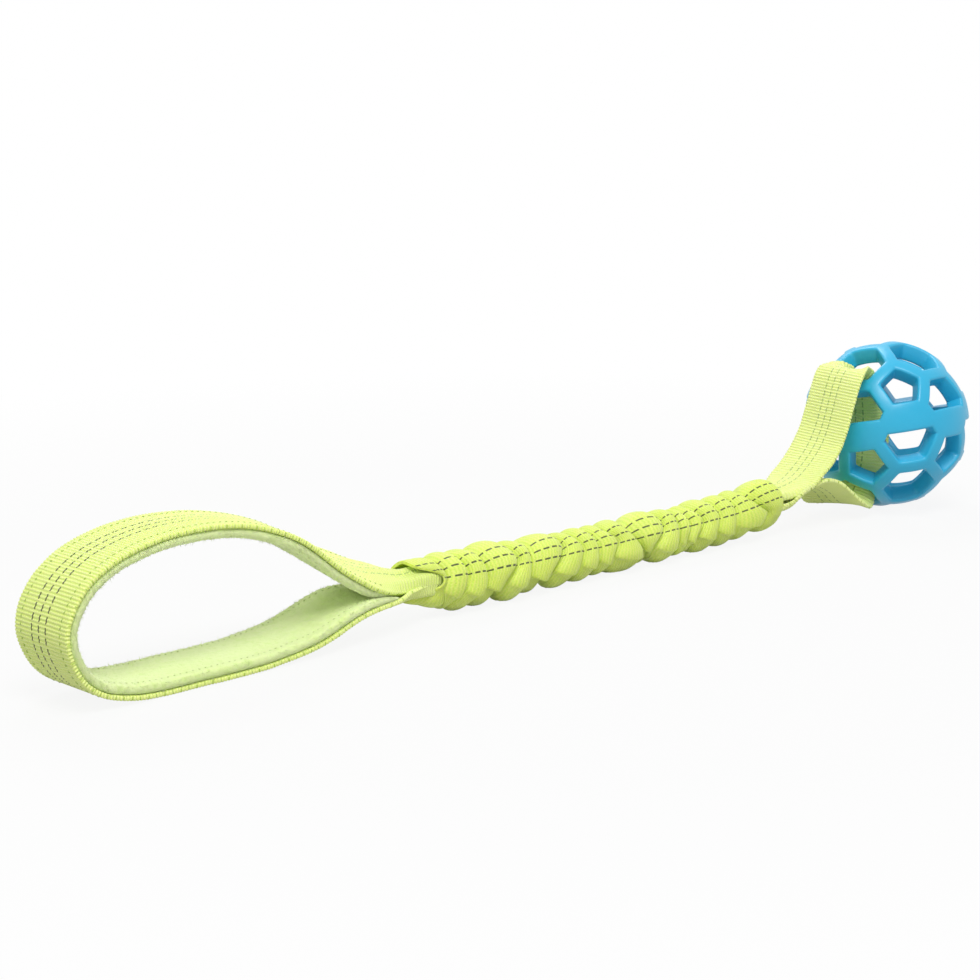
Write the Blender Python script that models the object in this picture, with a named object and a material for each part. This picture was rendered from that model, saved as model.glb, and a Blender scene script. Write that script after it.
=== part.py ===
"""A bungee tug toy: a lined webbing hand loop, a gathered bungee and a holed rubber ball.

The toy lies on the ground as it was laid down. X runs from the hand loop to the ball, Y is the
width of the webbing, Z is up, and the ground is at zero. The origin is under the middle of the toy.
"""

import math

import bmesh
import bpy
import numpy as np
from mathutils import Matrix

# Webbing, the same for the hand loop and the ball strap
webbing_width = 0.028
webbing_thickness = 0.0016
webbing_edge_round = 0.0004

# Running gap between pieces that touch
fit_gap = 0.0003

# Hand loop
loop_length = 0.135
loop_height = 0.052
loop_step = 0.0048
lining_thickness = 0.003
lining_edge_round = 0.0008
lining_side_margin = 0.0004
lining_seam_margin = 0.012
edge_seam_inset = 0.0035
edge_seam_thread = 0.0007

# Webbing ends, gathered round the elastic inside the mouths of the sheath
handle_gather_length = 0.017
handle_lap_length = 0.012
handle_lap_width = 0.017
ball_gather_length = 0.015
ball_lap_length = 0.009
ball_lap_width = 0.0135
lap_edge_gap = 0.001
lap_cup_angle = math.radians(60)
tack_thread = 0.0009
tack_width = 0.0052
tack_length = 0.006
tack_pitch = 0.0013

# Bungee: a gathered sheath over a flat elastic
bungee_length = 0.188
bungee_diameter = 0.0206
sheath_wall = 0.0009
mouth_length = 0.014
fold_pitch = 0.0088
fold_depth = 0.0018
fold_lean = 0.0022
elastic_width = 0.0075
elastic_thickness = 0.0024
bore_overrun = 0.002
bore_step = 0.0045

# Ball
ball_diameter = 0.070
ball_wall = 0.007
ball_rib_width = 0.005
ball_belt_width = 0.0098
ball_edge_round = 0.0008
ball_merge_gap = 0.0002
ball_tilt_angle = math.radians(-13.3)
ball_spin_angle = math.radians(18)
ball_swivel_offset = 0.017

# Ball strap
strap_reach = 0.066
strap_step = 0.0024

# Shares
fold_sharpness_share = 0.8
rim_corner_share = 0.5
corner_cut_share = 1 / 3

# Counts
curve_samples = 24
sheath_sides = 16
bore_sides = 12
stations_per_fold = 4
loop_columns = 4
strap_columns = 8
ball_rib_segments = 3

# Sizes that follow
ball_radius = ball_diameter / 2
bungee_radius = bungee_diameter / 2
total_length = (
    loop_length
    + handle_gather_length
    + bungee_length
    + ball_gather_length
    + strap_reach
    + ball_radius
)

# Places along X, from the far end of the hand loop to the far side of the ball
loop_end_x = -total_length / 2
handle_seam_x = loop_end_x + loop_length
bungee_start_x = handle_seam_x + handle_gather_length
bungee_end_x = bungee_start_x + bungee_length
ball_x = bungee_end_x + ball_gather_length + strap_reach

# The outer face of the hand loop from the lower gather round to the upper one: distance from the
# seam as a share of the loop's length, height as a share of the loop's height, width as a share
# of the webbing's, then the cup of its edges and its roll in degrees
loop_rows = [
    (-0.06, 0.150, 0.74, -45, -4),
    (0.0, 0.157, 0.88, -26, -3),
    (0.125, 0.172, 1.0, -4, 0),
    (0.27, 0.062, 1.0, 0, 0),
    (0.40, 0.012, 1.0, 0, 0),
    (0.50, 0.0, 1.0, 0, 0),
    (0.62, 0.0, 1.0, 0, 0),
    (0.74, 0.0, 1.0, 0, 0),
    (0.83, 0.022, 1.0, 0, 0),
    (0.91, 0.085, 1.0, 0, 0),
    (0.968, 0.215, 1.0, 0, 0),
    (1.0, 0.42, 1.0, 0, 0),
    (0.988, 0.61, 1.0, 0, 0),
    (0.93, 0.80, 1.0, 0, 0),
    (0.83, 0.93, 1.0, 0, 0),
    (0.68, 1.0, 1.0, 0, 0),
    (0.50, 0.965, 1.0, 0, 0),
    (0.33, 0.815, 1.0, 0, 4),
    (0.18, 0.575, 1.0, 0, 12),
    (0.08, 0.45, 1.0, -6, 16),
    (0.0, 0.395, 0.88, -26, 16),
    (-0.06, 0.357, 0.74, -45, 10),
]

# The middle of the ball strap from the upper gather round to the lower one: X and Z from the
# ball's centre as shares of the ball's radius, width as a share of the webbing's, then the cup of
# its edges, its roll and its skew in degrees
strap_rows = [
    (-2.06, -0.497, 0.64, -38, 0, 0),
    (-1.87, -0.465, 0.87, -16, -4, 0),
    (-1.69, -0.40, 1.0, 0, -6, 3),
    (-1.49, -0.245, 1.0, 0, -3, 7),
    (-1.33, -0.075, 1.0, 4, 0, 10),
    (-1.215, 0.12, 1.0, 6, 0, 12),
    (-1.13, 0.33, 1.0, 6, 0, 12),
    (-1.055, 0.515, 1.0, 4, 0, 12),
    (-0.975, 0.66, 1.0, 0, 0, 12),
    (-0.885, 0.742, 1.0, 0, 0, 12),
    (-0.80, 0.75, 0.92, 18, 0, 12),
    (-0.735, 0.705, 0.81, 72, 0, 12),
    (-0.672, 0.635, 0.80, 102, 0, 12),
    (-0.59, 0.53, 0.80, 108, 0, 11),
    (-0.55, 0.32, 0.92, 88, 0, 8),
    (-0.53, 0.0, 0.96, 78, 0, 0),
    (-0.54, -0.30, 0.92, 88, 0, -6),
    (-0.58, -0.495, 0.86, 108, 0, -10),
    (-0.65, -0.645, 0.86, 110, 0, -11),
    (-0.735, -0.775, 0.88, 92, 0, -11),
    (-0.85, -0.885, 0.94, 46, 6, -7),
    (-0.99, -0.89, 1.0, 8, 16, -2),
    (-1.16, -0.80, 1.0, 0, 25, 0),
    (-1.38, -0.70, 1.0, 0, 22, 0),
    (-1.62, -0.65, 1.0, 0, 10, 0),
    (-1.87, -0.68, 0.87, -16, 4, 0),
    (-2.06, -0.735, 0.64, -38, 0, 0),
]

# The bungee's middle and outer radius: share of its length, then shares of its radius
bungee_rows = [
    (0.0, 1.22, 0.87),
    (0.055, 1.10, 0.97),
    (0.13, 1.02, 1.03),
    (0.20, 0.99, 1.0),
    (0.30, 0.94, 0.92),
    (0.50, 0.92, 0.90),
    (0.72, 0.92, 0.90),
    (0.86, 0.96, 0.93),
    (0.94, 1.10, 0.88),
    (1.0, 1.22, 0.85),
]

# Relative sizes of neighbouring folds, repeated along the bungee
fold_size_shares = (1.0, 0.55, 0.9, 0.7, 1.15, 0.6, 0.85)


def clear_scene():
    for obj in list(bpy.data.objects):
        bpy.data.objects.remove(obj, do_unlink=True)


def make_material(name, colour, roughness):
    material = bpy.data.materials.new(name)
    material.use_nodes = True
    shader = material.node_tree.nodes["Principled BSDF"]
    shader.inputs["Base Color"].default_value = (*colour, 1)
    shader.inputs["Roughness"].default_value = roughness
    shader.inputs["Metallic"].default_value = 0
    return material


def add_mesh_object(name, mesh_data, material, smooth_angle):
    mesh = bpy.data.meshes.new(name)
    mesh_data.to_mesh(mesh)
    mesh_data.free()
    mesh.shade_smooth()
    mesh.set_sharp_from_angle(angle=smooth_angle)
    obj = bpy.data.objects.new(name, mesh)
    obj.data.materials.append(material)
    bpy.context.scene.collection.objects.link(obj)
    return obj


def hang_on(obj, pivot):
    """Parents the object to the pivot, with its origin on the pivot and its shape where it was."""
    obj.parent = pivot
    obj.data.transform(Matrix.Translation(-pivot.location))


def add_pivot(name, x, z):
    pivot = bpy.data.objects.new(name, None)
    pivot.location = (x, 0, z)
    bpy.context.scene.collection.objects.link(pivot)
    return pivot


def smooth_rows(rows, step):
    """A smooth curve through rows of numbers, with a row at about each step along X and Z."""
    rows = np.array(rows, float)
    padded = np.vstack([2 * rows[0] - rows[1], rows, 2 * rows[-1] - rows[-2]])
    fine = []
    for before, start, end, after in zip(padded, padded[1:], padded[2:], padded[3:]):
        for t in np.linspace(0, 1, curve_samples, endpoint=False):
            fine.append(
                0.5
                * (
                    2 * start
                    + (end - before) * t
                    + (2 * before - 5 * start + 4 * end - after) * t**2
                    + (3 * start - before - 3 * end + after) * t**3
                )
            )
    fine = np.array(fine + [rows[-1]])
    lengths = np.linalg.norm(np.diff(fine[:, :2], axis=0), axis=1)
    along = np.concatenate([[0], np.cumsum(lengths)])
    stations = np.linspace(0, along[-1], max(2, round(along[-1] / step)) + 1)
    return np.array([np.interp(stations, along, column) for column in fine.T]).T


def loft(rings, sides):
    """A closed mesh through rings of the same number of points, capped at both ends."""
    mesh = bmesh.new()
    loops = [[mesh.verts.new(point) for point in ring] for ring in rings]
    for first, second in zip(loops, loops[1:]):
        for i in range(sides):
            j = (i + 1) % sides
            mesh.faces.new((first[i], first[j], second[j], second[i]))
    mesh.faces.new(reversed(loops[0]))
    mesh.faces.new(loops[-1])
    bmesh.ops.recalc_face_normals(mesh, faces=mesh.faces)
    return mesh


def strip_section(top, bottom, edge_round, columns, width):
    """Round a strip's section: places across it, and depths under its outer face."""
    half = width / 2
    flat_half = half - edge_round
    across = np.linspace(-flat_half, flat_half, columns + 1)
    section = [(place, top) for place in across]
    section += [(half, top + edge_round), (half, bottom - edge_round)]
    section += [(place, bottom) for place in across[::-1]]
    section += [(-half, bottom - edge_round), (-half, top + edge_round)]
    return section


def strip_rings(rows, section_of):
    """Rings of a strip along rows of x, z, width, cup, roll and skew."""
    slopes = np.gradient(rows[:, :2], axis=0)
    slopes /= np.linalg.norm(slopes, axis=1)[:, None]
    rings = []
    for (x, z, width, cup, roll, skew), (run, rise) in zip(rows, slopes):
        outward = np.array([-rise, 0, run])
        sideways = np.array([0, 1, 0])
        cup, roll = math.radians(cup), math.radians(roll)
        lateral = math.cos(roll) * sideways + math.sin(roll) * outward
        normal = math.cos(roll) * outward - math.sin(roll) * sideways
        ring = []
        for place, depth in section_of(width):
            angle = cup * place / (width / 2)
            bend_radius = place / angle if abs(angle) > 1e-6 else 0
            reach = bend_radius * math.sin(angle) if bend_radius else place
            lift = bend_radius * (1 - math.cos(angle))
            face = math.cos(angle) * normal - math.sin(angle) * lateral
            point = np.array([x, 0, z]) + reach * lateral + lift * normal - depth * face
            point[0] += point[1] * math.tan(math.radians(skew))
            point[2] = max(point[2], 0)
            ring.append(point)
        rings.append(ring)
    return rings


def bungee_section(x):
    """Height of the bungee's middle and its outer radius at a place along it."""
    shares = np.array(bungee_rows)
    along = (x - bungee_start_x) / bungee_length
    middle, radius = (np.interp(along, shares[:, 0], shares[:, i]) for i in (1, 2))
    return middle * bungee_radius, radius * bungee_radius


def lap_rise(width):
    """Height of a cupped webbing end over the middle of the elastic that it is gathered round."""
    return lap_edge_gap + width / 2 / lap_cup_angle * (1 - math.cos(lap_cup_angle))


def with_laps(rows, mouth_x, lap_length, lap_width, first_side, step):
    """Smooth rows of a strip whose two ends run into a mouth of the sheath."""
    share, cup = lap_width / webbing_width, -math.degrees(lap_cup_angle)
    rise = first_side * lap_rise(lap_width)
    middles = [(x, bungee_section(x)[0]) for x in (mouth_x + lap_length, mouth_x)]
    first = [(x, middle + rise, share, cup, 0, 0) for x, middle in middles]
    last = [(x, middle - rise, share, cup, 0, 0) for x, middle in middles[::-1]]
    rows = smooth_rows(first + rows + last, step)
    rows[:, 2] = np.clip(rows[:, 2], share, 1) * webbing_width
    return rows


def loop_path(step):
    """The hand loop's outer face, from the end of its lower lap round to the upper one."""
    rows = [
        (handle_seam_x - along * loop_length, up * loop_height, *rest, 0)
        for along, up, *rest in loop_rows
    ]
    return with_laps(rows, bungee_start_x, handle_lap_length, handle_lap_width, -1, step)


def lined_path(step):
    """The stretch of the hand loop that the lining covers."""
    rows = loop_path(step)
    return rows[rows[:, 0] < handle_seam_x - lining_seam_margin]


def make_handle(webbing, fleece, thread):
    def webbing_section(width):
        return strip_section(0, webbing_thickness, webbing_edge_round, loop_columns, width)

    def lining_section(width):
        top = webbing_thickness + fit_gap
        width -= 2 * lining_side_margin
        return strip_section(top, top + lining_thickness, lining_edge_round, loop_columns, width)

    rings = strip_rings(loop_path(loop_step), webbing_section)
    add_mesh_object("handle_webbing", loft(rings, len(rings[0])), webbing, math.radians(50))
    rings = strip_rings(lined_path(loop_step), lining_section)
    add_mesh_object("handle_lining", loft(rings, len(rings[0])), fleece, math.radians(50))
    make_edge_seam("handle_edge_seam_front", -1, thread)
    make_edge_seam("handle_edge_seam_back", 1, thread)


def make_edge_seam(name, side, thread):
    """A sewn row along the loop's inner face, where the needle ties the lining down."""

    def seam_section(width):
        near = side * (width / 2 - edge_seam_inset) - edge_seam_thread / 2
        far = near + edge_seam_thread
        top = webbing_thickness + 2 * fit_gap + lining_thickness
        bottom = top + edge_seam_thread
        return [(near, top), (far, top), (far, bottom), (near, bottom)]

    rings = strip_rings(lined_path(loop_step), seam_section)
    add_mesh_object(name, loft(rings, len(rings[0])), thread, math.radians(80))


def make_tack(name, x, pivot, thread):
    """A zigzag row of thread under the elastic, where it is sewn to the webbing's ends."""
    half_width = tack_width / 2
    turns = round(tack_width / tack_pitch)
    pitch = tack_width / turns
    # A leg of the zigzag is cut across the lap's length, which shows it wider than its thread.
    half_x = tack_thread / 2 * math.hypot(tack_length, pitch) / pitch
    half_z = tack_thread / 2
    drop = elastic_thickness / 2 + fit_gap + half_z
    rings = []
    for i in range(turns + 1):
        y = i * pitch - half_width
        end_x = x + (tack_length if i % 2 else -tack_length) / 2
        ring = []
        for a, b in ((-1, -1), (1, -1), (1, 1), (-1, 1)):
            corner_x = end_x + a * half_x
            ring.append((corner_x, y, bungee_section(corner_x)[0] - drop + b * half_z))
        rings.append(ring)
    obj = add_mesh_object(name, loft(rings, len(rings[0])), thread, math.radians(80))
    if pivot:
        hang_on(obj, pivot)


def ease(share):
    share = min(max(share, 0), 1)
    return share * share * (3 - 2 * share)


def fold_share(x):
    """Nought at the open mouths of the sheath, one where it is fully gathered."""
    return ease(min(x - bungee_start_x, bungee_end_x - x) / mouth_length)


def fold_height(x, angle):
    """How far the sheath stands out at a place: nought in a crease, one on a large fold."""
    along = (x - bungee_start_x + fold_lean * math.cos(angle + x / fold_pitch)) / fold_pitch
    index = math.floor(along)
    size = fold_size_shares[index % len(fold_size_shares)]
    return size * math.sin(math.pi * (along - index)) ** fold_sharpness_share


def round_ring(x, sides, radius_of):
    middle = bungee_section(x)[0]
    ring = []
    for i in range(sides):
        angle = 2 * math.pi * i / sides
        radius = radius_of(x, angle)
        y, z = radius * math.cos(angle), middle + radius * math.sin(angle)
        ring.append((x, y, max(z, 0)))
    return ring


def sheath_radius(x, angle):
    crease = fold_depth * (1 - fold_height(x, angle)) * fold_share(x)
    return bungee_section(x)[1] - crease


def bore_radius(x, angle):
    return bungee_section(x)[1] - fold_depth * fold_share(x) - sheath_wall


def make_sheath(webbing, pivot):
    count = round(bungee_length / fold_pitch * stations_per_fold)
    places = np.linspace(bungee_start_x, bungee_end_x, count + 1)
    rings = [round_ring(x, sheath_sides, sheath_radius) for x in places]
    sheath = add_mesh_object(
        "bungee_sheath", loft(rings, sheath_sides), webbing, math.radians(60)
    )
    start_x, end_x = bungee_start_x - bore_overrun, bungee_end_x + bore_overrun
    places = np.linspace(start_x, end_x, round((end_x - start_x) / bore_step) + 1)
    rings = [round_ring(x, bore_sides, bore_radius) for x in places]
    bore = add_mesh_object("bore_cutter", loft(rings, bore_sides), webbing, math.radians(60))
    bore.hide_render = True
    bore.display_type = "WIRE"
    hang_on(bore, pivot)
    cut = sheath.modifiers.new("bore", "BOOLEAN")
    cut.operation = "DIFFERENCE"
    cut.object = bore
    hang_on(sheath, pivot)


def make_elastic(elastic, pivot):
    half_width, half_height = elastic_width / 2, elastic_thickness / 2
    corners = ((-1, -1), (1, -1), (1, 1), (-1, 1))
    rings = []
    for x in np.linspace(bungee_start_x, bungee_end_x, round(bungee_length / bore_step) + 1):
        middle = bungee_section(x)[0]
        rings.append([(x, a * half_width, middle + b * half_height) for a, b in corners])
    core = add_mesh_object("elastic_core", loft(rings, 4), elastic, math.radians(40))
    hang_on(core, pivot)


def make_ball_strap(webbing, pivot):
    def section(width):
        half = webbing_thickness / 2
        return strip_section(-half, half, webbing_edge_round, strap_columns, width)

    rows = [
        (ball_x + x * ball_radius, ball_radius + z * ball_radius, *rest)
        for x, z, *rest in strap_rows
    ]
    rows = with_laps(rows, bungee_end_x, -ball_lap_length, ball_lap_width, 1, strap_step)
    rings = strip_rings(rows, section)
    strap = add_mesh_object("ball_strap", loft(rings, len(rings[0])), webbing, math.radians(50))
    hang_on(strap, pivot)


def truncated_icosahedron():
    """Twelve pentagons and twenty hexagons, with a pentagon at each pole."""
    mesh = bmesh.new()
    bmesh.ops.create_icosphere(mesh, subdivisions=1, radius=ball_radius)
    bmesh.ops.bevel(
        mesh,
        geom=mesh.verts[:],
        offset=100 * corner_cut_share,
        offset_type="PERCENT",
        segments=1,
        affect="VERTICES",
    )
    bmesh.ops.remove_doubles(mesh, verts=mesh.verts, dist=ball_merge_gap)
    return mesh


def faces_to_open(mesh, belt_half):
    """The faces outside the belt, without the slivers beside it that are too small to open."""
    least_area = (2 * ball_rib_width) ** 2
    return [
        face
        for face in mesh.faces
        if abs(face.calc_center_median().z) > belt_half and face.calc_area() > least_area
    ]


def cut_holes(mesh, belt_half):
    """Opens the faces outside the belt, leaving a rib's half width round each."""
    for height in (-belt_half, belt_half):
        geom = mesh.verts[:] + mesh.edges[:] + mesh.faces[:]
        bmesh.ops.bisect_plane(
            mesh, geom=geom, plane_co=(0, 0, height), plane_no=(0, 0, 1), dist=ball_merge_gap
        )
    hole_edges = list({edge for face in faces_to_open(mesh, belt_half) for edge in face.edges})
    bmesh.ops.subdivide_edges(mesh, edges=hole_edges, cuts=ball_rib_segments - 1)
    holes = faces_to_open(mesh, belt_half)
    bmesh.ops.inset_individual(
        mesh, faces=holes, thickness=ball_rib_width / 2, use_even_offset=True
    )
    rims = {vertex for face in holes for vertex in face.verts}
    moved = {}
    for face in holes:
        corners = [loop.vert for loop in face.loops]
        for before, here, after in zip(corners[-1:] + corners, corners, corners[1:] + corners[:1]):
            beside = (before.co + after.co) / 2
            moved[here] = here.co.lerp(beside, rim_corner_share)
    for vertex in rims:
        vertex.co = moved[vertex]
    bmesh.ops.delete(mesh, geom=holes, context="FACES_ONLY")


def make_ball(rubber, pivot):
    mesh = truncated_icosahedron()
    cut_holes(mesh, (ball_belt_width - ball_rib_width) / 2)
    bmesh.ops.triangulate(mesh, faces=[face for face in mesh.faces if len(face.verts) > 4])
    for vertex in mesh.verts:
        vertex.co = vertex.co.normalized() * ball_radius
    outer = mesh.faces[:]
    rim_edges = [edge for edge in mesh.edges if edge.is_boundary]
    copy = bmesh.ops.duplicate(mesh, geom=mesh.verts[:] + mesh.edges[:] + outer)
    inner_of = {old: new for old, new in copy["vert_map"].items() if old in set(mesh.verts)}
    inner_faces = [item for item in copy["geom"] if isinstance(item, bmesh.types.BMFace)]
    inner_verts = [item for item in copy["geom"] if isinstance(item, bmesh.types.BMVert)]
    for vertex in inner_verts:
        vertex.co *= (ball_radius - ball_wall) / ball_radius
    bmesh.ops.reverse_faces(mesh, faces=inner_faces)
    for edge in rim_edges:
        first, second = edge.verts
        mesh.faces.new((first, second, inner_of[second], inner_of[first]))
    bmesh.ops.recalc_face_normals(mesh, faces=mesh.faces)
    turn = Matrix.Rotation(ball_tilt_angle, 4, "X") @ Matrix.Rotation(ball_spin_angle, 4, "Z")
    mesh.transform(Matrix.Translation((ball_x, 0, ball_radius)) @ turn)
    ball = add_mesh_object("ball", mesh, rubber, math.radians(30))
    edges = ball.modifiers.new("rounded_edges", "BEVEL")
    edges.width = ball_edge_round
    edges.segments = 1
    edges.limit_method = "ANGLE"
    edges.angle_limit = math.radians(70)
    hang_on(ball, pivot)


def build():
    clear_scene()
    webbing = make_material("yellow_green_webbing", (0.60, 0.86, 0.10), 0.7)
    fleece = make_material("pale_fleece", (0.78, 0.95, 0.42), 0.9)
    thread = make_material("sewing_thread", (0.66, 0.88, 0.16), 0.6)
    elastic = make_material("white_elastic", (0.85, 0.85, 0.80), 0.7)
    rubber = make_material("blue_rubber", (0.03, 0.44, 0.74), 0.45)
    bungee_pivot = add_pivot("bungee_pivot", bungee_start_x, bungee_section(bungee_start_x)[0])
    strap_pivot = add_pivot("ball_strap_pivot", bungee_end_x, bungee_section(bungee_end_x)[0])
    ball_pivot = add_pivot("ball_pivot", ball_x - ball_swivel_offset, ball_radius)
    make_handle(webbing, fleece, thread)
    make_sheath(webbing, bungee_pivot)
    make_elastic(elastic, bungee_pivot)
    make_ball_strap(webbing, strap_pivot)
    make_ball(rubber, ball_pivot)
    make_tack("handle_end_tack", bungee_start_x + handle_lap_length / 2, None, thread)
    make_tack("ball_strap_end_tack", bungee_end_x - ball_lap_length / 2, strap_pivot, thread)


build()
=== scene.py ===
"""Looks of a bungee tug toy: ribbed webbing, fleece lining, gathered sheath and rubber ball.

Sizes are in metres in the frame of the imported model. X runs from the hand loop to the ball, Y across
the webbing and Z up from the floor.
"""

import math

import bmesh
import bpy
import numpy as np
from mathutils import Matrix, Vector


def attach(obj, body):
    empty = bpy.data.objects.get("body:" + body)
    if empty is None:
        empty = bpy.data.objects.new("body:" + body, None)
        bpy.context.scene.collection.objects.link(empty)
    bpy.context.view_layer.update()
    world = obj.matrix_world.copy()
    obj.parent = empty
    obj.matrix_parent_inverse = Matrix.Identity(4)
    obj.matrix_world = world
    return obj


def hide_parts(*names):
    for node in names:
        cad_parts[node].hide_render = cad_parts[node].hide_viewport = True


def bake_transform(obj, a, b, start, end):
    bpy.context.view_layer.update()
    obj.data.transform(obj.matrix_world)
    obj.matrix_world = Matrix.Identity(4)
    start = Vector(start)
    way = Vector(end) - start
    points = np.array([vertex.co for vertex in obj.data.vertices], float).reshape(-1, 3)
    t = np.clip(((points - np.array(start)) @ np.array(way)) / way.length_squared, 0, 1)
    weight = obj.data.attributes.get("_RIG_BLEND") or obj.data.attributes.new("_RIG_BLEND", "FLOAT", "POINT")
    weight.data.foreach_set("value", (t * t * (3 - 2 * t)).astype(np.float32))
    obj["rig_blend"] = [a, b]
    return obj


# Webbing
webbing_width = 0.028
webbing_thickness = 0.0016
webbing_edge_round = 0.0006
curve_samples = 40
strip_step = 0.00025
strip_columns = 20
strip_sharp_angle = 40
least_cup = 1e-5
rib_pitch = 0.00125
rib_height = 0.00009
rib_depth = 0.00022
rib_shift = math.pi * 0.35
warp_pitch = 0.00062
edge_teeth = 0.00012
edge_ripple = 0.00022
edge_ripple_length = 0.006
pucker_full_narrowing = 0.3
tracer_lines = (0.0046, 0.0009, -0.0028)
tracer_width = 0.00062
tracer_pitch = 0.0033
tracer_dash_share = 0.68
# Painted reflection: across these places along X the loop's tracers turn pale, as if reflecting light from
# above.
tracer_highlight_x = (-0.187, -0.165)
selvedge_dot_place = 0.01385
selvedge_dot_pitch = 0.0031
selvedge_dot_share = 0.14

# Hand loop and its lining. Puckers have a height and a count across the webbing.
loop_length = 0.135
loop_height = 0.052
loop_puckers = (0.0007, 3.2)
lining_thickness = 0.0030
lining_gap = 0.0001
lining_side_margin = 0.0003
lining_edge_share = 0.45
lining_end_x = -0.0935
lining_taper = 0.014
lining_least_share = 0.25
lining_crown = 0.0004
lining_row_skip = 3
fleece_lump = 0.00028
fleece_lump_pitch = 0.0026
fleece_grain = 0.0006
nap_seed = 11
nap_count = 15000
nap_end_margin = 0.001
nap_length = 0.0008
nap_least_share = 0.35
nap_lean = 0.35
nap_radius = 0.00011
nap_root = 0.0006
nap_twist = (0.31, 0.52, 0.80)

# Stitches. The ply of a thread turns by so many radians a metre along it and across it.
edge_seam_inset = 0.0035
lining_stitch_rise = 0.0001
stitch_length = 0.0016
stitch_pitch = 0.0024
stitch_radius = 0.00019
stitch_sides = 8
stitch_stations = 7
stitch_fullness = 0.6
stitch_arch = 1.5
stitch_sink = 1.1
stitch_end_share = 0.45
stitch_sharp_angle = 80
thread_turn_along = 9000
thread_turn_across = 6000
thread_ply_depth = 0.0001

# Bungee
bungee_length = 0.188
bungee_radius = 0.0103
sheath_wall = 0.0011
sheath_columns = 144
sheath_steps_per_fold = 24
sheath_sharp_angle = 75
handle_end_folds = 4
ball_end_folds = 3
fold_overhang = 0.05
fold_fullness = 0.74
fold_size = 0.0006
fold_size_share = 0.15
fold_usual_length = 0.0095
fold_size_limits = (-0.0002, 0.0016)
first_fold_start = 0.42
last_fold_end = 0.80
fold_wander = 0.0005
fold_wander_seed = 3
fold_unevenness = 0.0004
fold_unevenness_seed = 8
far_side_angle = math.radians(-5)
far_side_spread = 1.4
lower_lip_rise = 0.0043
lower_lip_angle = math.radians(255)
lower_lip_spread = 1.3
lower_lip_fall = 1.3
pocket_depth = 0.0042
pocket_angles = (math.radians(200), math.radians(285))
pocket_edge = math.radians(13)
pocket_lean = math.radians(24)
pocket_shares = (0, 0.3, 0.5, 0.9, 0.3, 1.0, 0.5, 0.4, 0.4, 0.7, 1.0, 0.4, 0.2, 0.4, 0.8, 0.5, 0.5, 0.1)
tracer_middle = math.radians(136)
inner_face_shift = 0.1
elastic_width = 0.0075
elastic_thickness = 0.0024
elastic_edge_share = 0.4
elastic_step = 0.002
elastic_rib_pitch = 0.0009
elastic_pick_pitch = 0.0011
elastic_weave_depth = 0.0002

# Webbing ends gathered into the sheath
handle_lap_length = 0.012
handle_lap_width = 0.0194
handle_lap_rises = (-0.0048, 0.0064)
ball_lap_length = 0.009
ball_lap_width = 0.0135
ball_lap_rises = (0.0047, -0.0047)
lap_cup = math.radians(75)
strap_puckers = (0.0006, 2.7)
strap_pucker_start = 1.5
tack_thread = 0.0009
tack_gap = 0.0003
tack_width = 0.0052
tack_length = 0.006
tack_pitch = 0.0013
tack_steps_per_turn = 10

# Ball. Rib and belt widths are laid out on the flat-faced pattern and grow as it is rounded out.
ball_radius = 0.035
ball_wall = 0.007
ball_rib_width = 0.005
ball_belt_width = 0.0058
ball_cut_percent = 100 / 3
ball_merge_distance = 0.0002
ball_least_hole = 0.0001
ball_edge_round = 0.0010
ball_edge_rings = 4
ball_rim_step = 0.0016
ball_corner_rounds = 2
ball_mesh_step = 0.0022
ball_mesh_rounds = 3
ball_tilt = math.radians(-13.3)
ball_spin = math.radians(18)
rubber_grain = 0.00004
all_smooth_angle = 180

# Colours. A webbing has light and deep patches, painted shade in the valleys between its ribs, and tracer
# threads.
loop_colours = ((0.88, 0.98, 0.34), (0.82, 0.96, 0.27), (0.68, 0.88, 0.15), (0.055, 0.085, 0.018))
sheath_colours = ((0.82, 0.97, 0.19), (0.75, 0.94, 0.12), (0.60, 0.86, 0.06), (0.075, 0.11, 0.022))
# The strap's tracer colour is pale as a painted reflection of light from above.
strap_colours = ((0.89, 0.98, 0.37), (0.85, 0.97, 0.32), (0.78, 0.94, 0.24), (0.46, 0.60, 0.18))
# Painted reflection: the pale colour the loop's tracers take where they face the light above.
tracer_highlight_colour = (0.46, 0.62, 0.16)
# Seam under-threads at the selvedge, darkened as painted shade.
selvedge_dot_shade_colour = (0.46, 0.62, 0.10)
webbing_fuzz_colour = (0.90, 0.99, 0.42)
webbing_sheen = (0.95, 1.0, 0.7, 1)
webbing_glow_reach = (0.0016, 0.0018, 0.0004)
fleece_colours = ((0.77, 0.93, 0.38), (0.84, 0.97, 0.48))
fleece_hollow_shade_colour = (0.66, 0.87, 0.24)
fleece_sheen = (0.97, 1.0, 0.8, 1)
fleece_glow_reach = (0.0020, 0.0024, 0.0012)
thread_colour = (0.50, 0.70, 0.10)
lining_thread_colour = (0.78, 0.93, 0.36)
# Painted shade in the grooves between a thread's plies, as a share of its colour.
thread_groove_shade_share = 0.6
# The first elastic colour is painted shade in the braid's hollows, the second its own white.
elastic_colours = ((0.60, 0.60, 0.54), (0.84, 0.84, 0.78))
rubber_colours = ((0.012, 0.42, 0.68), (0.040, 0.46, 0.73))

# Places along X
loop_seam_x = -0.093
bungee_start_x = -0.076
bungee_end_x = bungee_start_x + bungee_length
loop_tack_x = bungee_start_x + handle_lap_length / 2
strap_tack_x = bungee_end_x - ball_lap_length / 2
ball_x = 0.193

# Where the sheath and the webbing ends turn with the joints
left_bend = (-0.079, -0.0435)
middle_stretch = (-0.0315, 0.075)
right_bend = (0.080, 0.1165)

# Camera, at the photograph's viewing angle: how far it is left of the ball, under it and back from it
camera_azimuth = math.radians(-44)
camera_elevation = math.radians(12)
camera_from_ball = (0.1676, 0.0282, 0.9758)
camera_lens = 84.49
camera_sensor = 36

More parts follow.
